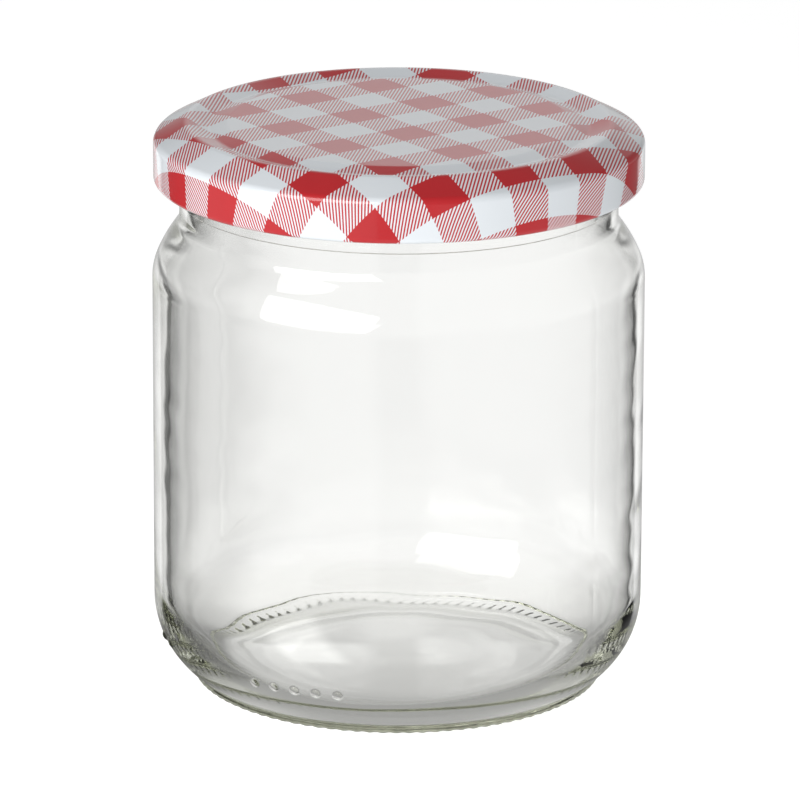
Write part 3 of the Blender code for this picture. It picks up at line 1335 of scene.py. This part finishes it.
@dataclass(frozen=True)
class RoomLook:
    """How bright the surroundings are, by azimuth from the back and elevation, in degrees."""

    stops: tuple[Point, ...] = (
        (0.0, 0.32), (0.12, 0.5), (0.17, 0.74), (0.25, 0.72), (0.30, 0.82), (0.36, 0.89), (0.41, 0.93),
        (0.43, 0.87), (0.455, 1.03), (0.47, 1.09), (0.63, 1.12), (0.68, 1.03), (0.73, 0.92), (1.0, 0.45),
    )
    stops_width: float = 80.0
    side: float = 0.95
    side_azimuth: Span = (60.0, 78.0)
    ambient: float = 0.80
    top_loss: float = 0.5
    top: Span = (0.0, 70.0)
    dim_side: Patch = Patch(-0.1, (30.0, 150.0, 30.0))
    inside: float = 0.95
    inside_from: Span = (-4.0, 3.0)
    inside_patches: tuple[Patch, ...] = (
        Patch(-0.40, (-75.0, 75.0, 15.0), (8.0, 38.0, 6.0)),
        Patch(1.1, (-9.0, -2.4, 0.8), (12.0, 29.0, 1.5)),
        Patch(0.6, (1.0, 5.0, 0.8), (11.0, 28.0, 1.5)),
    )
    cards: float = 0.06
    cards_height: Edges = (-27.0, -7.0, 3.0)
    card_patches: tuple[Patch, ...] = (
        Patch(0.94, (-31.0, 29.5, 2.5)),
        Patch(-0.423, (-18.0, 18.0, 6.0)),
        Patch(0.30, (-170.0, -66.5, 1.5)),
        Patch(0.22, (52.0, 165.0, 6.0)),
    )
    ahead: float = 0.12
    ahead_patch: Patch = Patch(0.56, (-11.0, 20.0, 11.0))
    above: float = 0.15
    above_from: Span = (28.0, 45.0)
    below: float = 0.4
    below_to: Span = (-8.0, 2.0)

    def through(self, tree: Tree, azimuth: Value) -> Value:
        """Brightness of what shows through the glass, by azimuth.

        Args:
            tree: The tree to build in.
            azimuth: The direction's azimuth.

        Returns:
            The brightness.
        """
        grey = [(position, (level, level, level)) for position, level in self.stops]
        ramp = tree.value("ShaderNodeValToRGB", 0, {"stops": grey}, {0: azimuth / self.stops_width + 0.5})
        sideways = tree.smooth(tree.maths("ABSOLUTE", azimuth), *self.side_azimuth)
        return tree.between(tree.parts(ramp)[0], self.side, sideways)

    def mirrored(self, tree: Tree, azimuth: Value, elevation: Value) -> Value:
        """Brightness of what outer surfaces mirror.

        Args:
            tree: The tree to build in.
            azimuth: The direction's azimuth.
            elevation: Its elevation.

        Returns:
            The brightness.
        """
        level = self.ahead + self.ahead_patch.light(tree, azimuth, elevation)
        level = tree.between(level, self.above, tree.smooth(elevation, *self.above_from))
        level = tree.between(self.below, level, tree.smooth(elevation, *self.below_to))
        cards = lit(tree, self.cards, self.card_patches, azimuth, elevation)
        return tree.between(level, cards, tree.window(elevation, *self.cards_height))

    def brightness(self, tree: Tree, azimuth: Value, elevation: Value) -> Value:
        """Brightness in a direction, by what the ray has done before.

        Args:
            tree: The tree to build in.
            azimuth: The direction's azimuth.
            elevation: Its elevation.

        Returns:
            The brightness.
        """
        ambient = self.ambient - self.top_loss * tree.smooth(elevation, *self.top)
        ambient = ambient + self.dim_side.light(tree, azimuth, elevation)
        passed = tree.been("Transmission")
        inside = lit(tree, self.inside, self.inside_patches, azimuth, elevation)
        within = passed * tree.smooth(elevation, *self.inside_from)
        mirrored = tree.between(self.mirrored(tree, azimuth, elevation), inside, within)
        light = tree.between(ambient, self.through(tree, azimuth), passed)
        light = tree.between(light, mirrored, tree.been("Glossy"))
        light = tree.between(light, ambient, tree.been("Diffuse"))
        return tree.between(light, 1.0, tree.value("ShaderNodeLightPath", "Is Camera Ray"))


@dataclass
class Studio:
    """White floor, surroundings, soft box and the camera."""

    target: Vector = field(default_factory=lambda: Vector((0.0, 0.0, 0.05)))
    camera_distance: float = 1.3
    camera_elevation: float = math.radians(16.95)
    camera_roll: float = math.radians(0.2)
    focal_pixels: float = 7397.0
    centre_pixel: Point = (398.2, 401.6)
    picture: float = 800.0
    bounces: int = 36
    floor_size: float = 6.0
    floor_z: float = -0.0003
    floor_glow: float = 0.52
    floor_look: FloorLook = FloorLook()
    room_look: RoomLook = RoomLook()
    key: SoftBox = SoftBox()

    def build(self) -> None:
        """Build the whole studio."""
        self.floor()
        self.surroundings()
        self.key.build(self.target)
        self.camera()
        scene = bpy.context.scene
        scene.view_settings.view_transform = "Standard"
        scene.cycles.max_bounces = self.bounces
        scene.cycles.glossy_bounces = self.bounces
        scene.cycles.transmission_bounces = self.bounces

    def floor(self) -> None:
        """A wide white floor, which rays that have gone through the glass see at a set brightness, with
        painted shade and painted highlights near the jar.
        """
        size = self.floor_size
        mesh = bpy.data.meshes.new("floor")
        corners = [(-size, -size, 0.0), (size, -size, 0.0), (size, size, 0.0), (-size, size, 0.0)]
        mesh.from_pydata(corners, [], [(0, 1, 2, 3)])
        floor = link("floor", mesh)
        floor.location.z = self.floor_z
        material, tree = new_material("white_floor")
        shader = tree.principled({
            "Base Color": (0.9, 0.9, 0.9, 1.0),
            "Roughness": 0.9,
            "Specular IOR Level": 0.0,
            "Emission Color": (1.0, 1.0, 1.0, 1.0),
            "Emission Strength": self.floor_glow,
        })
        clear = tree.value("ShaderNodeBsdfTransparent", 0)
        below = tree.value("ShaderNodeNewGeometry", "Backfacing")
        surface = tree.value("ShaderNodeMixShader", 0, inputs={0: below, 1: shader, 2: clear})
        x, y, _ = tree.parts(tree.value("ShaderNodeTexCoord", "Object"))
        away = tree.maths("SQRT", x * x + y * y)
        # Painted shade and painted highlights near the jar, as glow that only rays through the glass or
        # mirrored by it see.
        shade = self.floor_look.brightness(tree, x, y, away)
        under = tree.value("ShaderNodeEmission", 0, inputs={0: (1.0, 1.0, 0.99, 1.0), 1: shade})
        near = 1.0 - tree.smooth(away, *self.floor_look.reach)
        seen = tree.value("ShaderNodeMixShader", 0, inputs={0: near, 1: clear, 2: under})
        indirect = tree.maths("MAXIMUM", tree.been("Transmission"), tree.been("Glossy"))
        indirect = indirect * (1.0 - tree.been("Diffuse"))
        surface = tree.value("ShaderNodeMixShader", 0, inputs={0: indirect, 1: surface, 2: seen})
        tree.add("ShaderNodeOutputMaterial", inputs={"Surface": surface})
        mesh.materials.append(material)

    def surroundings(self) -> None:
        """What the jar reflects and shows through: a white sweep behind, and panels at its sides."""
        world = bpy.data.worlds.new("studio")
        bpy.context.scene.world = world
        world.use_nodes = True
        world.cycles.sampling_method = "NONE"
        tree = Tree(world.node_tree)
        x, y, z = tree.parts(tree.value("ShaderNodeTexCoord", "Generated"))
        azimuth = tree.maths("DEGREES", tree.maths("ARCTAN2", x, y))
        elevation = tree.maths("DEGREES", tree.maths("ARCSINE", z))
        light = self.room_look.brightness(tree, azimuth, elevation)
        background = tree.value("ShaderNodeBackground", 0, inputs={0: (1.0, 1.0, 1.0, 1.0), 1: light})
        tree.add("ShaderNodeOutputWorld", inputs={"Surface": background})

    def camera(self) -> None:
        """The camera, from the angle, distance and lens that were fitted to the photograph."""
        data = bpy.data.cameras.new("camera")
        data.lens = self.focal_pixels * data.sensor_width / self.picture
        data.shift_x = (self.picture / 2.0 - self.centre_pixel[0]) / self.picture
        data.shift_y = (self.centre_pixel[1] - self.picture / 2.0) / self.picture
        data.clip_start, data.clip_end = 0.1, 20.0
        tilt = Matrix.Rotation(math.pi / 2.0 - self.camera_elevation, 4, "X")
        turn = tilt @ Matrix.Rotation(self.camera_roll, 4, "Z")
        place = self.target + turn.col[2].to_3d() * self.camera_distance
        camera = link("camera", data)
        camera.matrix_world = Matrix.Translation(place) @ turn
        bpy.context.scene.camera = camera


def hand_over(piece: bpy.types.Object, node: str) -> None:
    """Put a finished piece in the place of its node.

    Args:
        piece: The piece.
        node: The node that it stands for.
    """
    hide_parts(node)
    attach(piece, BODY)
    faces = sum(len(polygon.vertices) - 2 for polygon in piece.data.polygons)
    LOG.info("%s stands for %s with %d triangles", piece.name, node, faces)


def main() -> None:
    """Build the pieces and the studio, and note the sizes."""
    logging.basicConfig(level=logging.INFO, format="%(name)s: %(message)s")
    glass = ClearGlass().material()
    hand_over(GlassJar().build(glass), "jar")
    finishes = {
        SheetBand.PRINT: GinghamPrint().material(),
        SheetBand.LACQUER: InsideLacquer().material(),
        SheetBand.COMPOUND: SealingCompound().material(),
    }
    hand_over(LugCap().build(finishes), "lid")
    Studio().build()


if __name__ == "__main__":
    main()
